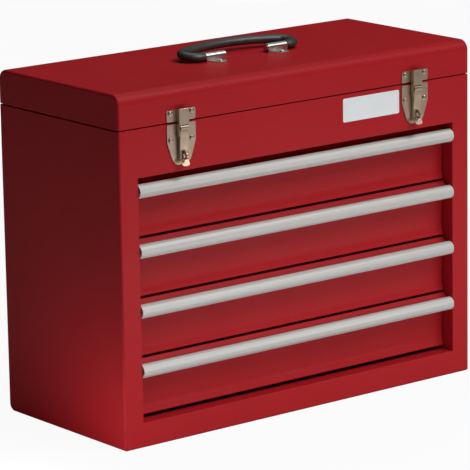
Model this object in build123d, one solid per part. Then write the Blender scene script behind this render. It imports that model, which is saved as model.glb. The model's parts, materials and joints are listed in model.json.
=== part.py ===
from build123d import *
import os
from math import atan2, cos, degrees, radians, sin

# All sizes in millimetres. X runs along the front, -Y is out of the front, +Z is up.
# The origin is on the floor, in the middle of the base.

# Case
WIDTH = 510.0
DEPTH = 226.0
BODY_HEIGHT = 359.5
LID_HEIGHT = 39.2
SEAM_GAP = 1.2          # daylight between body and closed lid
SHEET = 1.0             # thickness of the case sheet
CORNER_BEND = 3.0       # outer radius of the folded edges of the case
REAR_BEND = 9.0         # outer radius of the edge under the back
LID_BEND = 12.0         # outer radius of the long edges along the lid
RIM_BEND = 0.9          # outer radius of the tight folds at the seam and the opening
RIM = 9.0               # width of the flanges turned in around both rims
WELD_FLANGE = 10.0      # depth of the flanges that stand inside the wrap
WELD_GAP = 0.1          # slack of a flange beside the piece it passes

# Front opening and drawers
STILE = 25.5            # width of the front on each side of the opening
BOTTOM_RAIL = 28.5
TOP_RAIL = 54.5
RETURN = 19.0           # depth of the flanges turned in around the opening
DRAWERS = 4
DRAWER_GAP = 2.2        # between one drawer front and the next
BOTTOM_GAP = 4.5        # under the lowest drawer front
TOP_GAP = 3.8           # over the highest drawer front
FRONT_GAP = 1.1         # beside a drawer front
PULL_GAP = 0.6          # beside a drawer pull
DRAWER_SHEET = 0.8
DRAWER_TRAVEL = 150.0

# Drawer front, as depths behind the face of the case and heights
FACE_DEPTH = 18.0       # the flat of the front
SKIRT_DEPTH = 14.5      # the flared lower edge
FLARE_HEIGHT = 7.0
FLARE_BEND = 19.0
FOOT_LENGTH = 15.5      # the flange under the tray
SHOULDER_DEPTH = 15.5   # the top fold
SHOULDER_DROP = 3.2     # from the top fold to the top of the flat
SHOULDER_LIFT = 0.6     # height the rounding of the top fold takes off
SHOULDER_BEND = 1.6
FOOT_BEND = 1.0
NOSE_BEND = 1.2
NOSE_DEPTH = 6.8        # front of the flange that carries the pull
NOSE_DROP = 8.0         # from the top fold to the top of that flange
NOSE_HEIGHT = 6.0

# Drawer pull, depths behind the face (minus is in front of it) and drops from the top fold
PULL_WALL = 1.3
PULL_TOP = (4.5, -3.95)
PULL_NOSE = (-3.0, -11.6)
PULL_LIP = (2.5, -19.2)
PULL_LIP_R = 0.95
HOOK_WALL = 1.25
HOOK_GAP = 0.08         # slack of the nose flange in the hook
HOOK_RISE = 3.6         # height of the hook's rear leg
HOOK_BEND = 0.7
HOOK_FLOOR = 0.32       # from the nose flange's edge to the hook's floor

# Drawer trays and slides
TRAY_CLEAR = 12.5       # from the opening's side to the tray's side
TRAY_DROP = 10.4        # from the top of a drawer front down to its tray's rim
TRAY_REAR_GAP = 9.0     # from the tray to the outside of the back
TRAY_HEM = 7.0
RAIL_DROP = 21.0        # from the tray's rim down to the middle of a slide
RAIL_SHEET = 1.0
RAIL_HALF = 7.7         # half of the drawer rail's height
RAIL_PLAY = 0.3         # over and under the drawer rail in its runner
RAIL_REACH = 11.4       # drawer rail, out from the tray
RUNNER_REACH = 10.0     # cabinet runner, in from the liner
RUNNER_START = 20.0
RUNNER_REAR_GAP = 5.0

# Till floor and side liners
TILL_FLANGE = 12.0
LINER_LAP = 7.0         # how far a liner laps the return of the opening
LINER_FLANGE = 12.0

# Hinge
HINGE_INSET = 35.0      # from the case's sides to the hinge
KNUCKLES = 16
KNUCKLE_R = 2.6
HINGE_PIN_R = 1.45
PIN_PLAY = 0.05         # radial play of every pin
KNUCKLE_GAP = 0.3
KNUCKLE_CLEAR = 0.3     # from the knuckles to the back of the case
LEAF = 0.9
LEAF_BODY = 13.7        # height of the leaf on the body
LEAF_LID = 11.9
LEAF_CLEAR = 3.2        # from the hinge axis to the edge of each leaf

# Latches. A pair is (distance out of the front, height over the body's top edge), and a
# height alone is over that edge too, so minus is below it.
LATCH_INSET = 84.9      # from the case's side to the middle of a latch
PLATE = 1.2
PLATE_HALF = 19.8
PLATE_CORNER = 2.0
STRIKE_LOW = 0.8        # from the lid's edge up to the strike plate
STRIKE_HEIGHT = 13.2
CATCH_HALF = 4.75
CATCH_LOW = 2.0         # from the plate's edge up to the catch
CATCH_HEIGHT = 8.0
CATCH_OUT = 4.3
CATCH_BEND = 1.0
BASE_TOP_GAP = 0.9      # from the body's edge down to the base plate
BASE_STRAIGHT = 20.2
BASE_HEIGHT = 45.7
BASE_WAIST = 12.5
BASE_WAIST_DROP = 40.7
BASE_WAIST_R = 6.0
BASE_TIP = 7.0
BASE_TIP_R = 4.0
LEVER_PIVOT = (5.0, -5.3)
BAIL_PIVOT = (4.2, -12.8)
LEVER_SHEET = 0.9
LEVER_PIN_R = 1.25
LEVER_END_R = 3.4
EAR_R = 2.2
NECK_DROP = 5.0         # from the pivot down to the foot of the ear's neck
EAR_SHEET = 1.0
EAR_HALF = 3.1          # from the latch's middle to the inside of an ear
LEVER_HALF = 5.4
FLANGE_SHEET = 1.0
BAIL_GAP = 0.3          # between the lever's sides and the bail's arms
BAIL_SHEET = 0.9
BAIL_PIN_R = 1.1
BAIL_END_R = 2.3
BAIL_HEAD_R = 1.7
BAIL_HEAD = 0.5
BAIL_TOP = 16.4
BAIL_WEB_LOW = -1.7
BAIL_OUT = 6.8
BAIL_IN = 1.7
BAIL_TAPER = 12.0       # height over which the arms narrow
BAIL_CORNER = 2.0
BAIL_BEND = 0.8
LIP_IN = 4.6            # how near the front the hooked lip comes
ROLL_TURNS = (-24.0, 50.0)  # where the rolled end stops, in degrees up from straight out
ROLL_TAIL = 3.4
CHEEK_IN = 1.9
LEVER_KNEE = (6.2, -13.0)
LEVER_SHIN = (4.4, -32.6)
LEVER_HEEL = (4.4, -40.8)
LEVER_TONGUE = (9.6, -47.4)
TONGUE_CORNER = 3.6
LEVER_BENDS = [2.0, 6.0, 5.0]   # at the knee, the shin and the heel
SLOT_HALF = 2.4
SLOT = (-42.1, -30.1)
STAPLE = (-40.4, -31.8)
STAPLE_OUT = 11.7
STAPLE_SHEET = 2.0
STAPLE_HOLE_R = 2.5
RIVET_X = 14.75
STRIKE_RIVET_UP = 9.2
BASE_RIVET_UP = 27.6    # over the base plate's tip
RIVET_R = 3.2
RIVET_RISE = 1.6
RIVET_DOME = 1.3        # rounding of a rivet's head
RIVET_SHANK_R = 1.95
RIVET_TAIL_R = 2.9
RIVET_TAIL = 0.8

# Label plate
LABEL_WIDTH = 84.4
LABEL_HEIGHT = 27.4
LABEL_INSET = 108.4     # from the case's right side
LABEL_DROP = 4.7        # from the body's top edge
LABEL_SHEET = 0.4
LABEL_R = 2.0

# Handle
HANDLE_Y = -14.0        # pivot axis, seen from above
ROD_R = 3.75
ROD_IN = 30.0           # inner end of each rod
ROD_SEAT = 5.5          # length of rod inside the grip
CLIP_SHEET = 1.0
CLIP = (31.0, 59.0)
CLIP_FOOT_FRONT = 14.0
CLIP_FOOT_REAR = 10.0
CLIP_FOOT_WIDTH = 16.0
CLIP_FOOT_R = 5.6
ROD_RISE = 5.6          # rod axis over the lid
GRIP_START = 59.5
GRIP_HALF = (6.4, 5.2)  # half sizes of the grip's section, in plan and upright
GRIP_OFFSET = 1.1       # from the pivot axis to the middle of the grip's ends
GRIP_ELBOW_X = 69.0
GRIP_ELBOW = 25.0       # from the pivot axis to the bar at the elbow
GRIP_MIDDLE = 38.0      # and at the middle
GRIP_TILT = 7.0         # degrees the grip stands up at rest

# Worked out from the sizes above
HALF = WIDTH / 2
LATCH_X = HALF - LATCH_INSET
HINGE_LENGTH = WIDTH - 2 * HINGE_INSET
FRONT = -DEPTH / 2
BACK = DEPTH / 2
LID_LOW = BODY_HEIGHT + SEAM_GAP
LID_TOP = LID_LOW + LID_HEIGHT
OPEN_HALF = HALF - STILE
OPEN_LOW = BOTTOM_RAIL
OPEN_TOP = BODY_HEIGHT - TOP_RAIL
STACK = OPEN_TOP - OPEN_LOW - BOTTOM_GAP - TOP_GAP
FRONT_HEIGHT = (STACK - (DRAWERS - 1) * DRAWER_GAP) / DRAWERS
FRONT_HALF = OPEN_HALF - FRONT_GAP
PULL_HALF = OPEN_HALF - PULL_GAP
TRAY_HALF = OPEN_HALF - TRAY_CLEAR
RIM_HALF = HALF - SHEET - RIM
AXIS_Y = BACK + KNUCKLE_R + KNUCKLE_CLEAR
AXIS_Z = BODY_HEIGHT + SEAM_GAP / 2
KNUCKLE_PITCH = HINGE_LENGTH / KNUCKLES
ARM_IN = LEVER_HALF + BAIL_GAP
ARM_OUT = ARM_IN + BAIL_SHEET
ROD_Z = LID_TOP + ROD_RISE


def block(x, y, z):
    """Box from three (low, high) pairs."""
    middle = Pos((x[0] + x[1]) / 2, (y[0] + y[1]) / 2, (z[0] + z[1]) / 2)
    return middle * Box(x[1] - x[0], y[1] - y[0], z[1] - z[0])


def oblong(u, v):
    """Flat rectangle from two (low, high) pairs."""
    return Pos((u[0] + u[1]) / 2, (v[0] + v[1]) / 2) * Rectangle(u[1] - u[0], v[1] - v[0])


def along_x(section, x):
    """Run a section drawn as (y, z) between two x values."""
    plane = Plane(origin=(x[0], 0, 0), x_dir=(0, 1, 0), z_dir=(1, 0, 0))
    return extrude(plane * section, x[1] - x[0])


def along_y(section, y):
    """Run a section drawn as (x, z) between two y values."""
    plane = Plane(origin=(0, y[1], 0), x_dir=(1, 0, 0), z_dir=(0, -1, 0))
    return extrude(plane * section, y[1] - y[0])


def out_of_front(section, half):
    """Run a section drawn as (out of the front, over the body's top edge) across a latch."""
    plane = Plane(origin=(half, FRONT, BODY_HEIGHT), x_dir=(0, -1, 0), z_dir=(-1, 0, 0))
    return extrude(plane * section, 2 * half)


def fold(corners, radii, thickness):
    """Section of folded sheet: a centre line with a bend at each corner."""
    return trace(FilletPolyline(*corners, radius=radii), thickness)


def both_sides(piece):
    """The piece and its mirror image left to right."""
    return Compound([piece, mirror(piece, Plane.YZ)])


def outline(half, low, high, low_bend, high_bend):
    """Upright panel shape with rounded corners."""
    face = oblong((-half, half), (low, high))
    if low_bend > 0:
        face = fillet(face.vertices().sort_by(Axis.Y)[:2], low_bend)
    if high_bend > 0:
        face = fillet(face.vertices().sort_by(Axis.Y)[-2:], high_bend)
    return face


def at_height(piece, z):
    """Edges of a piece that lie flat at one height."""
    return [e for e in piece.edges() if e.bounding_box().min.Z > z - 0.01
            and e.bounding_box().max.Z < z + 0.01]


def body_solid(inset, top):
    """Filled body, drawn in by an inset, with its corners rounded."""
    y = (FRONT + inset, BACK - inset)
    side = oblong(y, (inset, top))
    rear = side.vertices().group_by(Axis.X)[-1].sort_by(Axis.Y)[0]
    side = fillet(rear, REAR_BEND - inset)
    solid = along_x(side, (-HALF + inset, HALF - inset))
    open_rim = at_height(solid, top)
    across = [e for e in solid.edges() if e.length > WIDTH / 2 and e.center().Y > y[0] + inset + 0.01]
    return fillet([e for e in solid.edges() if e not in open_rim + across], CORNER_BEND - inset)


def body_shell():
    """Thin skin of the whole body, open at the top."""
    solid = body_solid(0, BODY_HEIGHT)
    solid = fillet(at_height(solid, BODY_HEIGHT), RIM_BEND)
    return solid - body_solid(SHEET, BODY_HEIGHT + SHEET)


def slab(y):
    """Part of space between two y values, wider and higher than the case."""
    return block((-WIDTH, WIDTH), y, (-WIDTH, 2 * BODY_HEIGHT))


def body_wrap():
    """Both sides and the base, folded from one sheet, with its rim turned in."""
    y = (FRONT + CORNER_BEND, BACK - REAR_BEND)
    rim = block((RIM_HALF, HALF - SHEET), y, (BODY_HEIGHT - SHEET, BODY_HEIGHT))
    return (body_shell() & slab(y)) + rim + mirror(rim, Plane.YZ)


def end_panel(y, bend):
    """Front or back sheet of the case, its outline turned back by a bend, with the flanges that
    fit inside the wrap."""
    sign = 1 if y > 0 else -1
    seam = y - sign * bend
    inner = y - sign * SHEET
    weld = sorted((inner, seam - sign * WELD_FLANGE))
    joggle = sorted((seam + sign * 1.5 * SHEET, seam - sign * WELD_FLANGE))
    top = (BODY_HEIGHT - SHEET, BODY_HEIGHT)
    panel = body_shell() & slab(sorted((2 * y, seam)))
    side = block((HALF - 2 * SHEET, HALF - SHEET), weld, (SHEET + bend, top[0] - WELD_GAP))
    panel += side + mirror(side, Plane.YZ)
    panel += block((-OPEN_HALF, OPEN_HALF), joggle, (SHEET, 2 * SHEET))
    panel += block((-HALF + SHEET, HALF - SHEET), sorted((inner, seam)), top)
    return panel + block((-RIM_HALF, RIM_HALF), sorted((inner, inner - sign * RIM)), top)


def front_frame():
    """Front sheet with the drawer opening, its edges turned in."""
    frame = end_panel(FRONT, CORNER_BEND)
    mouth = oblong((-OPEN_HALF, OPEN_HALF), (OPEN_LOW, OPEN_TOP))
    ring = oblong((-OPEN_HALF - SHEET, OPEN_HALF + SHEET), (OPEN_LOW - SHEET, OPEN_TOP + SHEET))
    frame += along_y(ring, (FRONT, FRONT + RETURN))
    frame -= along_y(mouth, (FRONT - SHEET, FRONT + 2 * RETURN))
    rim = [e for e in frame.edges() if abs(e.center().Y - FRONT) < 0.01
           and e.bounding_box().min.X > -OPEN_HALF - SHEET
           and e.bounding_box().max.X < OPEN_HALF + SHEET
           and e.center().Z > OPEN_LOW - SHEET and e.center().Z < OPEN_TOP + SHEET]
    frame = fillet(rim, RIM_BEND)
    return frame - latch_holes(base_rivet_places(), FRONT)


def back_panel():
    """Plain back sheet."""
    return end_panel(BACK, REAR_BEND)


def till_floor():
    """Floor of the compartment under the lid, resting on the front's top return."""
    low = OPEN_TOP + SHEET
    half = HALF - 2 * SHEET - WELD_GAP
    y = (FRONT + SHEET, BACK - SHEET)
    pan = block((-half, half), y, (low, low + TILL_FLANGE))
    pan = fillet(pan.edges().filter_by(Axis.Z), CORNER_BEND)
    well = block((-half + SHEET, half - SHEET), (y[0] + SHEET, y[1] - SHEET),
                 (low + SHEET, low + 2 * TILL_FLANGE))
    return pan - well


def side_liner(sign):
    """Upright sheet beside the drawers that carries the runners."""
    x = OPEN_HALF + SHEET
    y = (FRONT + RETURN - LINER_LAP, BACK - SHEET)
    z = (SHEET, OPEN_TOP + SHEET)
    shape = oblong(y, z)
    shape = fillet(shape.vertices().group_by(Axis.X)[-1].sort_by(Axis.Y)[0], REAR_BEND)
    liner = along_x(shape, (x, x + SHEET))
    liner += block((x, x + SHEET + LINER_FLANGE), (y[1] - SHEET, y[1]), (z[0] + REAR_BEND, z[1]))
    return liner if sign > 0 else mirror(liner, Plane.YZ)


def drawer_low(n):
    """Height of the lower edge of drawer front n, counted from the bottom."""
    return OPEN_LOW + BOTTOM_GAP + (n - 1) * (FRONT_HEIGHT + DRAWER_GAP)


def tray_rim(n):
    """Height of the rim of tray n."""
    return drawer_low(n) + FRONT_HEIGHT - TRAY_DROP


def cabinet_runners(n):
    """Pair of channels on the liners, open towards the drawer."""
    x = OPEN_HALF + SHEET
    middle = tray_rim(n) - RAIL_DROP
    inner = RAIL_HALF + RAIL_PLAY
    outer = inner + RAIL_SHEET
    y = (FRONT + RUNNER_START, BACK - RUNNER_REAR_GAP)
    channel = block((x - RUNNER_REACH, x), y, (middle - outer, middle + outer))
    channel -= block((x - 2 * RUNNER_REACH, x - RAIL_SHEET), (y[0] - 1, y[1] + 1),
                     (middle - inner, middle + inner))
    return both_sides(channel)


def drawer_rails(n):
    """Pair of channels on the tray that run inside the cabinet runners."""
    middle = tray_rim(n) - RAIL_DROP
    y = (FRONT + FACE_DEPTH + 2 * DRAWER_SHEET, BACK - TRAY_REAR_GAP)
    z = (middle - RAIL_HALF, middle + RAIL_HALF)
    rail = block((TRAY_HALF, TRAY_HALF + RAIL_REACH), y, z)
    rail -= block((TRAY_HALF + RAIL_SHEET, TRAY_HALF + 2 * RAIL_REACH), (y[0] - 1, y[1] + 1),
                  (z[0] + RAIL_SHEET, z[1] - RAIL_SHEET))
    return both_sides(rail)


def drawer_tray(n):
    """Open sheet tray with hemmed side and rear walls."""
    low = drawer_low(n) + DRAWER_SHEET
    top = tray_rim(n)
    y = (FRONT + FACE_DEPTH + DRAWER_SHEET, BACK - TRAY_REAR_GAP)
    tray = block((-TRAY_HALF, TRAY_HALF), y, (low, top))
    inner = (y[0] + DRAWER_SHEET, y[1] - DRAWER_SHEET)
    mouth = block((-TRAY_HALF + 2 * DRAWER_SHEET, TRAY_HALF - 2 * DRAWER_SHEET),
                  (inner[0], inner[1] - DRAWER_SHEET), (low, top + 1))
    well = block((-TRAY_HALF + DRAWER_SHEET, TRAY_HALF - DRAWER_SHEET), inner,
                 (low + DRAWER_SHEET, top - TRAY_HEM))
    tray -= well + (mouth - block((-TRAY_HALF, TRAY_HALF), y, (low, low + DRAWER_SHEET)))
    return tray


def drawer_front(n):
    """Drawer front in one folded sheet: foot, flared skirt, flat, shoulder and nose."""
    half = DRAWER_SHEET / 2
    low = drawer_low(n)
    top = low + FRONT_HEIGHT
    skirt = SKIRT_DEPTH + half
    flat = FACE_DEPTH + half
    nose = NOSE_DEPTH + half
    corners = [(skirt + FOOT_LENGTH, low + half), (skirt, low + half),
               (flat, low + FLARE_HEIGHT), (flat, top - SHOULDER_DROP),
               (SHOULDER_DEPTH, top - half + SHOULDER_LIFT), (nose, top - NOSE_DROP),
               (nose, top - NOSE_DROP - NOSE_HEIGHT)]
    bends = [FOOT_BEND, FLARE_BEND, SHOULDER_BEND, SHOULDER_BEND, NOSE_BEND]
    section = fold(corners, bends, DRAWER_SHEET)
    return along_x(Pos(FRONT, 0) * section, (-FRONT_HALF, FRONT_HALF))


def pull_section():
    """Section of the pull: a C open to the back and the hook that grips the nose."""
    bow = ThreePointArc(PULL_TOP, PULL_NOSE, PULL_LIP)
    middle = bow.arc_center
    turns = [degrees(atan2(v - middle.Y, u - middle.X)) % 360 for u, v in (PULL_TOP, PULL_LIP)]
    arc = CenterArc((middle.X, middle.Y), bow.radius - PULL_WALL / 2, turns[0], turns[1] - turns[0])
    shell = trace(arc, PULL_WALL)
    inset = bow.radius - PULL_LIP_R
    lip = Pos(middle.X + inset * cos(radians(turns[1])), middle.Y + inset * sin(radians(turns[1])))
    front_leg = NOSE_DEPTH - HOOK_GAP - HOOK_WALL / 2
    rear_leg = NOSE_DEPTH + DRAWER_SHEET + HOOK_GAP + HOOK_WALL / 2
    head = PULL_TOP[1] - HOOK_WALL / 2
    floor = -NOSE_DROP - NOSE_HEIGHT - HOOK_FLOOR - HOOK_WALL / 2
    hook = fold([(PULL_TOP[0] - HOOK_WALL, head), (front_leg, head), (front_leg, floor),
                 (rear_leg, floor), (rear_leg, floor + HOOK_RISE)], [HOOK_BEND] * 3, HOOK_WALL)
    return shell + lip * Circle(PULL_LIP_R) + hook


def drawer_pull(n):
    """Full-width extruded pull hooked on the drawer front's nose."""
    place = Pos(FRONT, drawer_low(n) + FRONT_HEIGHT)
    return along_x(place * pull_section(), (-PULL_HALF, PULL_HALF))


def lid_profile(inset, low):
    """Shape of the lid seen from its end, drawn in by an inset."""
    return outline(BACK - inset, low, LID_TOP - inset, 0, LID_BEND - inset)


def lid_solid(inset, low):
    """Filled lid, drawn in by an inset, with the edges of its ends rounded."""
    half = HALF - inset
    solid = along_x(lid_profile(inset, low), (-half, half))
    rim = at_height(solid, low)
    ends = [e for e in solid.edges() if abs(abs(e.center().X) - half) < 0.01 and e not in rim]
    return fillet(ends, CORNER_BEND - inset)


def lid_shell():
    """Thin skin of the whole lid, open at the bottom."""
    solid = lid_solid(0, LID_LOW)
    solid = fillet(at_height(solid, LID_LOW), RIM_BEND)
    return solid - lid_solid(SHEET, LID_LOW - SHEET)


def lid_wrap():
    """Front, top and back of the lid in one sheet, its rim turned in."""
    half = HALF - CORNER_BEND
    wrap = lid_shell() & block((-half, half), (-WIDTH, WIDTH), (0, 2 * LID_TOP))
    inner = BACK - SHEET
    for y in ((-inner, RIM - inner), (inner - RIM, inner)):
        wrap += block((-RIM_HALF, RIM_HALF), y, (LID_LOW, LID_LOW + SHEET))
    wrap -= latch_holes(strike_rivet_places(), FRONT)
    for x, y in clip_rivet_places():
        wrap -= Pos(x, y, LID_TOP) * Cylinder(RIVET_SHANK_R + PIN_PLAY, 4 * SHEET)
    return wrap


def lid_end(sign):
    """Pressed end of the lid with flanges inside the wrap and along the rim."""
    end = lid_shell() & block((HALF - CORNER_BEND, WIDTH), (-WIDTH, WIDTH), (0, 2 * LID_TOP))
    low = LID_LOW + SHEET
    outer = SHEET + WELD_GAP
    ring = lid_profile(outer, low) - lid_profile(outer + SHEET, low)
    inner = BACK - SHEET
    end += along_x(ring, (RIM_HALF, HALF - SHEET))
    end += block((RIM_HALF, HALF - SHEET), (-inner, inner), (LID_LOW, low))
    return end if sign > 0 else mirror(end, Plane.YZ)


def hinge_leaf(low, high, first):
    """Hinge leaf with every other knuckle, counted from the first."""
    leaf = block((-HINGE_LENGTH / 2, HINGE_LENGTH / 2), (BACK, BACK + LEAF), (low, high))
    tab_z = (AXIS_Z - LEAF_CLEAR, AXIS_Z) if high < AXIS_Z else (AXIS_Z, AXIS_Z + LEAF_CLEAR)
    section = Pos(AXIS_Y, AXIS_Z) * Circle(KNUCKLE_R) + oblong((BACK, BACK + LEAF), tab_z)
    section -= Pos(AXIS_Y, AXIS_Z) * Circle(HINGE_PIN_R + PIN_PLAY)
    for i in range(first, KNUCKLES, 2):
        start = -HINGE_LENGTH / 2 + i * KNUCKLE_PITCH
        leaf += along_x(section, (start + KNUCKLE_GAP / 2, start + KNUCKLE_PITCH - KNUCKLE_GAP / 2))
    return leaf


def hinge_leaf_body():
    """Leaf on the back of the body."""
    return hinge_leaf(AXIS_Z - LEAF_CLEAR - LEAF_BODY, AXIS_Z - LEAF_CLEAR, 0)


def hinge_leaf_lid():
    """Leaf on the back of the lid."""
    return hinge_leaf(AXIS_Z + LEAF_CLEAR, AXIS_Z + LEAF_CLEAR + LEAF_LID, 1)


def hinge_pin():
    """Pin through every knuckle."""
    return along_x(Pos(AXIS_Y, AXIS_Z) * Circle(HINGE_PIN_R), (-HINGE_LENGTH / 2, HINGE_LENGTH / 2))


def rivet(stack):
    """Domed rivet through a stack of sheet, its head up and seated on zero."""
    head = Pos(0, 0, RIVET_RISE / 2) * Cylinder(RIVET_R, RIVET_RISE)
    head = fillet(head.edges().sort_by(Axis.Z)[-1], RIVET_DOME)
    shank = Pos(0, 0, -stack / 2) * Cylinder(RIVET_SHANK_R, stack)
    tail = Pos(0, 0, -stack - RIVET_TAIL / 2) * Cylinder(RIVET_TAIL_R, RIVET_TAIL)
    return head + shank + tail


def latch_centres():
    """Middles of the two latches."""
    return (-LATCH_X, LATCH_X)


def strike_rivet_places():
    """Rivets of the two strike plates, as (x, z)."""
    z = LID_LOW + STRIKE_LOW + STRIKE_RIVET_UP
    return [(x + side * RIVET_X, z) for x in latch_centres() for side in (-1, 1)]


def base_rivet_places():
    """Rivets of the two latch bases, as (x, z)."""
    z = BODY_HEIGHT - BASE_TOP_GAP - BASE_HEIGHT + BASE_RIVET_UP
    return [(x + side * RIVET_X, z) for x in latch_centres() for side in (-1, 1)]


def latch_holes(places, y):
    """Clearance holes for rivets through the front."""
    turn = Rot(90, 0, 0)
    radius = RIVET_SHANK_R + PIN_PLAY
    return [Pos(x, y, z) * turn * Cylinder(radius, 6 * SHEET) for x, z in places]


def front_rivets(places):
    """Rivets through a latch plate and the sheet behind it."""
    one = Rot(90, 0, 0) * rivet(PLATE + SHEET)
    return Compound([Pos(x, FRONT - PLATE, z) * one for x, z in places])


def between(half):
    """Space between the two sides of a latch piece, in front of its plates."""
    reach = 2 * BASE_HEIGHT
    return block((-half, half), (FRONT - reach, FRONT - PLATE), (BODY_HEIGHT - reach, BODY_HEIGHT + reach))


def strike_plate(x):
    """Plate on the lid with the catch pressed out of its middle."""
    low = LID_LOW + STRIKE_LOW
    shape = outline(PLATE_HALF, low, low + STRIKE_HEIGHT, PLATE_CORNER, PLATE_CORNER)
    plate = along_y(shape, (FRONT - PLATE, FRONT))
    foot = low + CATCH_LOW - BODY_HEIGHT
    catch = fold([(PLATE / 2, foot + PLATE / 2), (CATCH_OUT - PLATE / 2, foot + PLATE / 2),
                  (CATCH_OUT - PLATE / 2, foot + CATCH_HEIGHT)], [CATCH_BEND], PLATE)
    plate += out_of_front(catch, CATCH_HALF)
    return Pos(x, 0, 0) * plate - latch_holes(strike_rivet_places(), FRONT)


def base_outline():
    """Shape of the latch base seen from the front: a shield with a narrow tip."""
    top = BODY_HEIGHT - BASE_TOP_GAP
    right = [(PLATE_HALF, top), (PLATE_HALF, top - BASE_STRAIGHT),
             (BASE_WAIST, top - BASE_WAIST_DROP), (BASE_TIP, top - BASE_HEIGHT)]
    points = right + [(-x, z) for x, z in reversed(right)]
    shape = make_face(Polyline(*points, close=True))
    corners = shape.vertices().sort_by(Axis.Y)
    shape = fillet(corners[:2], BASE_TIP_R)
    corners = shape.vertices().filter_by(lambda v: abs(v.Y - top + BASE_WAIST_DROP) < 0.01)
    shape = fillet(corners, BASE_WAIST_R)
    return fillet(shape.vertices().sort_by(Axis.Y)[-2:], PLATE_CORNER)


def ear_section():
    """Ear of the latch base: a round eye about the lever's pivot and a raked neck."""
    p, z = LEVER_PIVOT
    eye = Pos(p, z) * Circle(EAR_R)
    neck = make_face(Polyline((PLATE / 2, z - 0.6), (p - EAR_R * 0.66, z + EAR_R * 0.66),
                              (p + EAR_R * 0.5, z - EAR_R * 0.8), (PLATE / 2, z - NECK_DROP), close=True))
    return eye + neck - Pos(p, z) * Circle(LEVER_PIN_R + PIN_PLAY)


def latch_base(x):
    """Shield-shaped plate on the body with two ears for the lever."""
    plate = along_y(base_outline(), (FRONT - PLATE, FRONT))
    ears = out_of_front(ear_section(), EAR_HALF + EAR_SHEET)
    plate += ears - between(EAR_HALF)
    return Pos(x, 0, 0) * plate - latch_holes(base_rivet_places(), FRONT)


def staple(x):
    """Padlock eye standing out of the base through the lever's slot."""
    middle = (STAPLE[0] + STAPLE[1]) / 2
    reach = (STAPLE[1] - STAPLE[0]) / 2
    shape = oblong((PLATE, STAPLE_OUT - reach), STAPLE) + Pos(STAPLE_OUT - reach, middle) * Circle(reach)
    shape -= Pos(STAPLE_OUT - reach, middle) * Circle(STAPLE_HOLE_R)
    shape -= oblong((-STAPLE_OUT, PLATE), STAPLE)
    return Pos(x, 0, 0) * out_of_front(shape, STAPLE_SHEET / 2)


def around_pivot(radius, turn):
    """Point on a circle about the lever's pivot, its turn in degrees up from straight out."""
    p, z = LEVER_PIVOT
    return (p + radius * cos(radians(turn)), z + radius * sin(radians(turn)))


def lever_line():
    """Centre line of the lever's face, rolled about its pivot and down to the finger tongue."""
    r = LEVER_END_R - LEVER_SHEET / 2
    low, high = ROLL_TURNS
    roll = ThreePointArc(around_pivot(r, high), around_pivot(r, (low + high) / 2), around_pivot(r, low))
    end = roll @ 1
    lean = roll % 1
    knee = (end.X + ROLL_TAIL * lean.X, end.Y + ROLL_TAIL * lean.Y)
    rest = FilletPolyline(knee, LEVER_KNEE, LEVER_SHIN, LEVER_HEEL, LEVER_TONGUE, radius=LEVER_BENDS)
    return Curve() + [roll, Line(roll @ 1, rest @ 0), rest]


def lever_side():
    """Shape of the lever's side flanges."""
    p, z = LEVER_PIVOT
    eye = Pos(p, z) * Circle(LEVER_END_R)
    half = LEVER_SHEET / 2
    cheek = make_face(Polyline((CHEEK_IN, z - 0.8), (p, z + 2.0), (p + 3.0, z - 1.0),
                               (LEVER_KNEE[0] + half, LEVER_KNEE[1] + 2.2), LEVER_KNEE, LEVER_SHIN,
                               LEVER_HEEL, (LEVER_HEEL[0] - 2 * half, LEVER_HEEL[1] + 0.2),
                               (CHEEK_IN, LEVER_SHIN[1] + 1.0), close=True))
    return eye + cheek


def lever(x):
    """Channel-shaped latch lever with a finger tongue and a slot for the padlock eye."""
    face = out_of_front(trace(lever_line(), LEVER_SHEET), LEVER_HALF)
    tip = [e for e in face.edges() if abs(abs(e.center().X) - LEVER_HALF) < 0.01
           and e.center().Z < BODY_HEIGHT + LEVER_TONGUE[1] + LEVER_SHEET
           and abs(e.length - LEVER_SHEET) < 0.01]
    face = fillet(tip, TONGUE_CORNER)
    side = out_of_front(lever_side(), LEVER_HALF)
    side -= between(LEVER_HALF - FLANGE_SHEET)
    body = face + side
    body -= out_of_front(Pos(*LEVER_PIVOT) * Circle(LEVER_PIN_R + PIN_PLAY), LEVER_HALF + 1)
    body -= out_of_front(Pos(*BAIL_PIVOT) * Circle(BAIL_PIN_R + PIN_PLAY), LEVER_HALF + 1)
    slot = Pos(0, BODY_HEIGHT + (SLOT[0] + SLOT[1]) / 2)
    slot *= SlotOverall(SLOT[1] - SLOT[0], 2 * SLOT_HALF, rotation=90)
    body -= along_y(slot, (FRONT - STAPLE_OUT, FRONT + 1))
    return Pos(x, 0, 0) * body


def lever_pin(x):
    """Pin of the lever, held by the ears and flush with the lever's sides."""
    return Pos(x, 0, 0) * out_of_front(Pos(*LEVER_PIVOT) * Circle(LEVER_PIN_R), LEVER_HALF)


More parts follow.
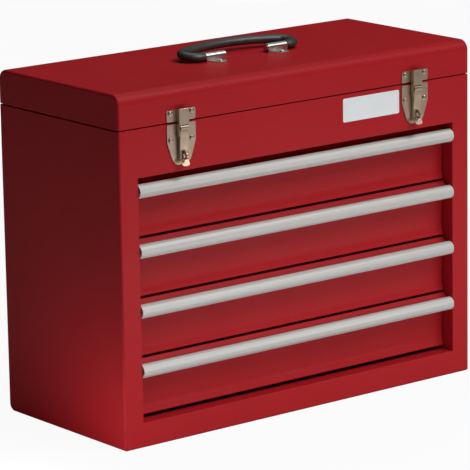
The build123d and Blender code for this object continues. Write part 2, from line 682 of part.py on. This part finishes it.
def bail(x):
    """Channel-shaped link between lever and catch, hooked at the top."""
    p, z = BAIL_PIVOT
    side = make_face(Polyline((BAIL_IN, BAIL_TOP), (BAIL_OUT, BAIL_TOP), (BAIL_OUT, BAIL_WEB_LOW),
                              (p + BAIL_END_R, z), (p - BAIL_END_R, z), (BAIL_IN, z + BAIL_TAPER),
                              close=True))
    side = fillet(side.vertices().sort_by(Axis.Y)[-2:].sort_by(Axis.X)[0], BAIL_CORNER)
    side += Pos(p, z) * Circle(BAIL_END_R)
    arms = out_of_front(side, ARM_OUT) - between(ARM_IN)
    half = BAIL_SHEET / 2
    web = fold([(BAIL_OUT - half, BAIL_WEB_LOW), (BAIL_OUT - half, BAIL_TOP - half),
                (LIP_IN, BAIL_TOP - half)], [BAIL_BEND], BAIL_SHEET)
    body = arms + out_of_front(web, ARM_OUT)
    body -= out_of_front(Pos(p, z) * Circle(BAIL_PIN_R + PIN_PLAY), ARM_OUT + 1)
    return Pos(x, 0, 0) * body


def bail_pin(x):
    """Pin between lever and bail with a low head at each end."""
    pin = out_of_front(Pos(*BAIL_PIVOT) * Circle(BAIL_PIN_R), ARM_OUT + BAIL_HEAD)
    heads = out_of_front(Pos(*BAIL_PIVOT) * Circle(BAIL_HEAD_R), ARM_OUT + BAIL_HEAD)
    return Pos(x, 0, 0) * (pin + (heads - between(ARM_OUT)))


def label_plate():
    """Thin plain plate on the top rail."""
    x = HALF - LABEL_INSET - LABEL_WIDTH / 2
    z = BODY_HEIGHT - LABEL_DROP - LABEL_HEIGHT / 2
    shape = Pos(x, z) * RectangleRounded(LABEL_WIDTH, LABEL_HEIGHT, LABEL_R)
    return along_y(shape, (FRONT - LABEL_SHEET, FRONT))


def handle_clip(sign):
    """Stamped clip that arches over a handle rod, with a foot in front and behind."""
    inner = ROD_R + PIN_PLAY
    outer = inner + CLIP_SHEET
    arch = Pos(HANDLE_Y, ROD_Z) * Circle(outer)
    arch += oblong((HANDLE_Y - outer, HANDLE_Y + outer), (LID_TOP, ROD_Z))
    arch -= Pos(HANDLE_Y, ROD_Z) * Circle(inner)
    arch -= oblong((HANDLE_Y - inner, HANDLE_Y + inner), (LID_TOP - 1, ROD_Z))
    clip = along_x(arch, CLIP)
    middle = (CLIP[0] + CLIP[1]) / 2
    for reach, direction in ((CLIP_FOOT_FRONT, -1), (CLIP_FOOT_REAR, 1)):
        start = HANDLE_Y + direction * inner
        end = HANDLE_Y + direction * (outer + reach)
        foot = Pos(middle, (start + end) / 2) * Rectangle(CLIP_FOOT_WIDTH, abs(end - start))
        tip = foot.vertices().sort_by(Axis.Y)
        foot = fillet(tip[:2] if direction < 0 else tip[-2:], CLIP_FOOT_R)
        clip += extrude(Pos(0, 0, LID_TOP) * foot, CLIP_SHEET)
    for x, y in clip_rivet_places():
        clip -= Pos(x, y, LID_TOP) * Cylinder(RIVET_SHANK_R + PIN_PLAY, 4 * CLIP_SHEET)
    return clip if sign > 0 else mirror(clip, Plane.YZ)


def clip_rivet_places():
    """Rivets of both handle clips, as (x, y)."""
    middle = (CLIP[0] + CLIP[1]) / 2
    outer = ROD_R + PIN_PLAY + CLIP_SHEET
    front = HANDLE_Y - outer - CLIP_FOOT_FRONT / 2
    rear = HANDLE_Y + outer + CLIP_FOOT_REAR / 2
    return [(side * middle, y) for side in (-1, 1) for y in (front, rear)]


def clip_rivets():
    """Rivets through the feet of the handle clips."""
    one = rivet(CLIP_SHEET + SHEET)
    return Compound([Pos(x, y, LID_TOP + CLIP_SHEET) * one for x, y in clip_rivet_places()])


def handle_rods():
    """Pair of steel rods that turn in the clips and end inside the grip."""
    rod = along_x(Pos(HANDLE_Y, ROD_Z) * Circle(ROD_R), (ROD_IN, GRIP_START + ROD_SEAT))
    return both_sides(rod)


def grip_line():
    """Centre line of the grip, drawn flat with the pivot axis along zero. Its ends run beside
    the axis, so that the grip clears the lid while it turns."""
    rise = GRIP_MIDDLE - GRIP_ELBOW
    bow = (GRIP_ELBOW_X ** 2 + rise ** 2) / (2 * rise)
    slope = atan2(GRIP_ELBOW_X, bow - rise)
    corner = (GRIP_ELBOW - GRIP_OFFSET) / (1 + cos(slope))
    start = GRIP_ELBOW_X - corner * sin(slope)
    turn = radians(180) - slope
    bend = [(start + corner * sin(a), GRIP_OFFSET + corner * (1 - cos(a))) for a in (0, turn / 2, turn)]
    back = [(-x, y) for x, y in reversed(bend)]
    return Curve() + [Line((GRIP_START, GRIP_OFFSET), bend[0]), ThreePointArc(*bend),
                      ThreePointArc(bend[2], (0, GRIP_MIDDLE), back[0]),
                      ThreePointArc(*back), Line(back[2], (-GRIP_START, GRIP_OFFSET))]


def handle_grip():
    """Moulded grip, swept along its bowed line and bored for the rods."""
    end = Plane(origin=(GRIP_START, GRIP_OFFSET, 0), x_dir=(0, 1, 0), z_dir=(1, 0, 0))
    section = end * Ellipse(*GRIP_HALF)
    grip = sweep(section, grip_line())
    tilt = radians(GRIP_TILT)
    stance = Plane(origin=(0, HANDLE_Y, ROD_Z), x_dir=(1, 0, 0), z_dir=(0, -sin(tilt), cos(tilt)))
    grip = stance.location * grip
    bore = along_x(Pos(HANDLE_Y, ROD_Z) * Circle(ROD_R + PIN_PLAY),
                   (GRIP_START - 1, GRIP_START + ROD_SEAT))
    return grip - bore - mirror(bore, Plane.YZ)


def nodes():
    """Every piece by name."""
    pieces = {
        "body_wrap": body_wrap(),
        "front_frame": front_frame(),
        "back_panel": back_panel(),
        "till_floor": till_floor(),
        "side_liner_left": side_liner(-1),
        "side_liner_right": side_liner(1),
        "lid_wrap": lid_wrap(),
        "lid_end_left": lid_end(-1),
        "lid_end_right": lid_end(1),
        "hinge_leaf_body": hinge_leaf_body(),
        "hinge_leaf_lid": hinge_leaf_lid(),
        "hinge_pin": hinge_pin(),
        "strike_rivets": front_rivets(strike_rivet_places()),
        "base_rivets": front_rivets(base_rivet_places()),
        "label_plate": label_plate(),
        "handle_grip": handle_grip(),
        "handle_rods": handle_rods(),
        "handle_clip_left": handle_clip(-1),
        "handle_clip_right": handle_clip(1),
        "clip_rivets": clip_rivets(),
    }
    for side, x in (("left", -LATCH_X), ("right", LATCH_X)):
        pieces["strike_plate_" + side] = strike_plate(x)
        pieces["latch_base_" + side] = latch_base(x)
        pieces["staple_" + side] = staple(x)
        pieces["lever_" + side] = lever(x)
        pieces["lever_pin_" + side] = lever_pin(x)
        pieces["bail_" + side] = bail(x)
        pieces["bail_pin_" + side] = bail_pin(x)
    for n in range(1, DRAWERS + 1):
        pieces["cabinet_runners_%d" % n] = cabinet_runners(n)
        pieces["drawer_rails_%d" % n] = drawer_rails(n)
        pieces["drawer_tray_%d" % n] = drawer_tray(n)
        pieces["drawer_front_%d" % n] = drawer_front(n)
        pieces["drawer_pull_%d" % n] = drawer_pull(n)
    return pieces


os.makedirs("parts", exist_ok=True)
for name, piece in nodes().items():
    export_step(piece, "parts/" + name + ".step")
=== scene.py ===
import json
from math import radians

import bmesh
import bpy
from mathutils import Matrix, Vector

# Camera, as solved from the photograph's perspective
AZIMUTH = -38.21        # degrees from straight in front, minus toward the left side
ELEVATION = 13.109
ROLL = -0.976
DISTANCE = 3.864        # metres from the point it looks at
AIM = (-0.0045, 0.0045, 0.1865)
LENS = 254.6            # millimetres, as the sensor's width
SENSOR = 36.0

# Colours, as linear values
ENAMEL = (0.39, 0.0118, 0.0165)
ENAMEL_DARK = (0.35, 0.0095, 0.0132)
PULL_SATIN = (0.58, 0.575, 0.55)
ZINC = (0.56, 0.55, 0.52)
NICKEL = (0.46, 0.35, 0.262)
# The latch nickel darkened for the levers: painted shade for their downward-facing faces
LEVER_NICKEL_SHADED = (0.375, 0.285, 0.213)
CLIP_BRIGHT = (0.68, 0.66, 0.62)
GRIP = (0.034, 0.032, 0.031)
LABEL = (0.76, 0.785, 0.80)
FLOOR = (0.62, 0.62, 0.62)
FLOOR_HALF = 6.0        # half of the floor's side, metres
SKY = 0.02              # level of the studio around the object
FLOOR_GLOW = 0.94       # share of plain white in what the camera sees of the floor

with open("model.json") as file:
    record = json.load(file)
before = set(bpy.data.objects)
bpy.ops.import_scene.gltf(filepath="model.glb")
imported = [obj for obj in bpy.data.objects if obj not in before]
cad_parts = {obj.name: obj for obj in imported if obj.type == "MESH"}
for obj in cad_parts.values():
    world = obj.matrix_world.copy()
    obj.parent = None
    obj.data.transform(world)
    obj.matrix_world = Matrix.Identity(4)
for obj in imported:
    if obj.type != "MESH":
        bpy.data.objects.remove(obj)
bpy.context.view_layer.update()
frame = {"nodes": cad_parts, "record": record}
nodes = frame["nodes"]


# ---------------------------------------------------------------- shader maths

class Wire:
    """A socket that takes part in Python expressions; each operator adds a Math node."""

    def __init__(self, tree, socket):
        self.tree = tree
        self.socket = socket

    def math(self, operation, other):
        return self.tree.node("ShaderNodeMath", {"operation": operation}, [self, other])

    def __add__(self, other):
        return self.math("ADD", other)

    __radd__ = __add__

    def __mul__(self, other):
        return self.math("MULTIPLY", other)

    __rmul__ = __mul__

    def __sub__(self, other):
        return self.math("SUBTRACT", other)

    def __rsub__(self, other):
        return self.tree.node("ShaderNodeMath", {"operation": "SUBTRACT"}, [other, self])


class Tree:
    """Nodes of one material."""

    def __init__(self, name):
        self.material = bpy.data.materials.new(name)
        self.material.use_nodes = True
        self.nodes = self.material.node_tree.nodes
        self.links = self.material.node_tree.links
        self.shader = self.nodes["Principled BSDF"]

    def put(self, socket, value):
        if isinstance(value, Wire):
            self.links.new(value.socket, socket)
        elif isinstance(value, (tuple, list)) and len(value) == 3 and len(socket.default_value) == 4:
            socket.default_value = (*value, 1.0)
        else:
            socket.default_value = value

    def node(self, kind, settings=None, values=(), out=0):
        """Add a node: its settings first, then the values or links of its sockets."""
        new = self.nodes.new(kind)
        for key, value in (settings or {}).items():
            if key == "stops":
                ramp = new.color_ramp
                while len(ramp.elements) < len(value):
                    ramp.elements.new(0.5)
                for element, (place, level) in zip(ramp.elements, value):
                    element.position = place
                    element.color = (level, level, level, 1)
            else:
                setattr(new, key, value)
        pairs = values.items() if isinstance(values, dict) else enumerate(values)
        for key, value in pairs:
            self.put(new.inputs[key], value)
        return Wire(self, new.outputs[out])

    def place(self):
        """Object coordinates, in metres."""
        return self.node("ShaderNodeTexCoord", out="Object")

    def noise(self, scale, detail=2.0, roughness=0.5, stretch=None):
        vector = self.place()
        if stretch:
            vector = self.node("ShaderNodeMapping", {}, {"Vector": vector, "Scale": stretch})
        return self.node("ShaderNodeTexNoise", {}, {"Vector": vector, "Scale": scale, "Detail": detail,
                                                    "Roughness": roughness})

    def ramp(self, value, stops):
        return self.node("ShaderNodeValToRGB", {"stops": stops}, {"Fac": value})

    def mix(self, factor, one, two):
        return self.node("ShaderNodeMix", {"data_type": "RGBA"}, {0: factor, 6: one, 7: two}, out=2)

    def bump(self, height, distance, strength=1.0):
        return self.node("ShaderNodeBump", {}, {"Height": height, "Distance": distance,
                                                "Strength": strength})

    def set(self, **sockets):
        """Values or links of the surface shader's own sockets."""
        for key, value in sockets.items():
            self.put(self.shader.inputs[key.replace("_", " ")], value)
        return self.material


def enamel():
    """Stove enamel on sheet steel: faint orange peel, soft clouds of shade, a few smudges."""
    t = Tree("case enamel")
    cloud = t.noise(7.0, 3.0)
    peel = t.noise(420.0, 1.0)
    fine = t.noise(2600.0, 1.0)
    smudge = t.ramp(t.noise(16.0, 4.0, 0.6), [(0.45, 0.0), (0.75, 1.0)])
    return t.set(Base_Color=t.mix(cloud, ENAMEL, ENAMEL_DARK),
                 Roughness=0.42 + 0.07 * smudge + 0.05 * fine,
                 Specular_IOR_Level=0.11, Normal=t.bump(peel + 0.15 * fine, 0.00004, 0.5))


def pull_satin():
    """Satin anodised extrusion: fine die lines along its length and faint handling marks."""
    t = Tree("pull satin")
    lines = t.noise(1500.0, 3.0, 0.6, (0.004, 1.0, 1.0))
    broad = t.ramp(t.noise(420.0, 2.0, 0.5, (0.004, 1.0, 1.0)), [(0.38, 0.0), (0.62, 1.0)])
    marks = t.ramp(t.noise(26.0, 4.0, 0.6), [(0.45, 0.0), (0.8, 1.0)])
    shade = t.mix(broad, PULL_SATIN, tuple(c * 0.84 for c in PULL_SATIN))
    return t.set(Base_Color=shade, Metallic=0.3, Roughness=0.56 + 0.10 * lines + 0.06 * marks,
                 Normal=t.bump(lines + broad, 0.00003, 0.4))


def plated(name, colour, roughness, dull=0.82):
    """Plated steel: fine pitting, tumbled scratches and slightly dull patches."""
    t = Tree(name)
    patch = t.ramp(t.noise(60.0, 3.0, 0.55), [(0.35, 0.0), (0.75, 1.0)])
    scratch = t.noise(900.0, 2.0, 0.7, (1.0, 1.0, 0.12))
    pits = t.ramp(t.noise(2200.0, 2.0), [(0.62, 0.0), (0.72, 1.0)])
    shade = t.mix(patch, colour, tuple(c * dull for c in colour))
    return t.set(Base_Color=shade, Metallic=1.0,
                 Roughness=roughness + 0.08 * patch + 0.06 * scratch,
                 Normal=t.bump(scratch - 0.5 * pits, 0.00002, 0.5))


def grip_plastic():
    """Moulded dark plastic with a fine leather-like grain, rubbed smoother in places."""
    t = Tree("grip plastic")
    grain = t.node("ShaderNodeTexVoronoi", {"feature": "F1"}, {"Vector": t.place(), "Scale": 900.0})
    rubbed = t.ramp(t.noise(28.0, 3.0), [(0.4, 0.0), (0.7, 1.0)])
    shade = t.mix(rubbed, GRIP, tuple(c * 1.5 for c in GRIP))
    return t.set(Base_Color=shade, Roughness=0.46 - 0.1 * rubbed, Normal=t.bump(grain, 0.00006, 0.5))


def label_paint():
    """Satin white plate with a slightly mottled finish."""
    t = Tree("label plate paint")
    mottle = t.noise(60.0, 3.0)
    return t.set(Base_Color=t.mix(mottle, LABEL, tuple(c * 0.93 for c in LABEL)),
                 Roughness=0.34 + 0.1 * mottle, Coat_Weight=0.2, Normal=t.bump(t.noise(700.0), 0.00002, 0.5))


latch_nickel = plated("latch nickel", NICKEL, 0.26)
# Levers: the same nickel as the latches, darker base and rougher, as painted shade
lever_nickel_painted_shade = plated("lever nickel painted shade", LEVER_NICKEL_SHADED, 0.34)
clip_nickel = plated("clip nickel", CLIP_BRIGHT, 0.26)
FINISHES = {
    "case_red": enamel(), "pull_metal": pull_satin(),
    "slide_steel": plated("slide zinc", ZINC, 0.32), "hinge_steel": plated("hinge zinc", ZINC, 0.30),
    "latch_metal": latch_nickel, "label_white": label_paint(), "grip_dark": grip_plastic(),
}
HANDLE_FITTINGS = ("handle_clip", "handle_rods", "clip_rivets")
LEVERS = ("lever_left", "lever_right")
slots = {entry["node"]: entry["material_slot"] for entry in frame["record"]["subparts"]}
for name, piece in nodes.items():
    piece.data.materials.clear()
    finish = FINISHES[slots[name]]
    if name.startswith(HANDLE_FITTINGS):
        finish = clip_nickel
    elif name in LEVERS:
        finish = lever_nickel_painted_shade
    piece.data.materials.append(finish)


# ---------------------------------------------------------------- floor, light, camera

def look_at(place, target):
    """Turn that points an object's -Z at a target."""
    return (Vector(target) - Vector(place)).to_track_quat("-Z", "Y").to_euler()


def lamp(name, place, target, size, power):
    """White rectangular lamp at a place, turned to a target; sizes in metres, power in watts."""
    data = bpy.data.lights.new(name, "AREA")
    data.shape = "RECTANGLE"
    data.size, data.size_y = size
    data.energy = power
    lamp_object = bpy.data.objects.new(name, data)
    lamp_object.location = place
    lamp_object.rotation_euler = look_at(place, target)
    bpy.context.scene.collection.objects.link(lamp_object)


def stage_material():
    """Pale floor that lights the object softly and that the camera sees as nearly white."""
    t = Tree("floor")
    t.set(Base_Color=FLOOR, Roughness=0.9, Specular_IOR_Level=0.0)
    seen = t.node("ShaderNodeLightPath", out="Is Camera Ray")
    glow = t.node("ShaderNodeEmission", {}, {"Color": (1, 1, 1), "Strength": 1.0})
    blend = t.nodes.new("ShaderNodeMixShader")
    t.links.new((seen * FLOOR_GLOW).socket, blend.inputs[0])
    t.links.new(t.shader.outputs[0], blend.inputs[1])
    t.links.new(glow.socket, blend.inputs[2])
    t.links.new(blend.outputs[0], t.nodes["Material Output"].inputs["Surface"])
    return t.material


bm = bmesh.new()
bmesh.ops.create_grid(bm, x_segments=1, y_segments=1, size=FLOOR_HALF)
mesh = bpy.data.meshes.new("floor")
bm.to_mesh(mesh)
bm.free()
floor = bpy.data.objects.new("floor", mesh)
bpy.context.scene.collection.objects.link(floor)
mesh.materials.append(stage_material())

world = bpy.data.worlds.new("studio")
bpy.context.scene.world = world
world.use_nodes = True
sky_nodes = world.node_tree.nodes
sky = sky_nodes["Background"]
sky.inputs["Color"].default_value = (1, 1, 1, 1)
ray = sky_nodes.new("ShaderNodeLightPath")
level = sky_nodes.new("ShaderNodeMapRange")
level.inputs["To Min"].default_value = SKY
level.inputs["To Max"].default_value = 1.0
world.node_tree.links.new(ray.outputs["Is Camera Ray"], level.inputs["Value"])
world.node_tree.links.new(level.outputs["Result"], sky.inputs["Strength"])

lamp("key", (1.3, -2.4, 3.9), (0, 0, 0.2), (2.8, 2.4), 158.0)
lamp("top", (0.6, 0.9, 3.0), (0, 0, 0.3), (1.8, 1.8), 18.0)
lamp("strip", (0.05, -0.60, 0.02), (0, -0.11, 0.05), (1.2, 0.2), 2.5)
lamp("card", (-0.39, -0.13, 0.015), (-0.25, -0.09, 0.01), (0.15, 0.06), 0.18)

camera_data = bpy.data.cameras.new("camera")
camera_data.lens = LENS
camera_data.sensor_width = SENSOR
camera = bpy.data.objects.new("camera", camera_data)
turn = Matrix.Rotation(radians(AZIMUTH), 4, "Z") @ Matrix.Rotation(radians(90 - ELEVATION), 4, "X")
turn = turn @ Matrix.Rotation(radians(ROLL), 4, "Z")
camera.matrix_world = Matrix.Translation(Vector(AIM) + turn.to_3x3() @ Vector((0, 0, DISTANCE))) @ turn
bpy.context.scene.collection.objects.link(camera)
bpy.context.scene.camera = camera
bpy.context.scene.view_settings.view_transform = "Standard"
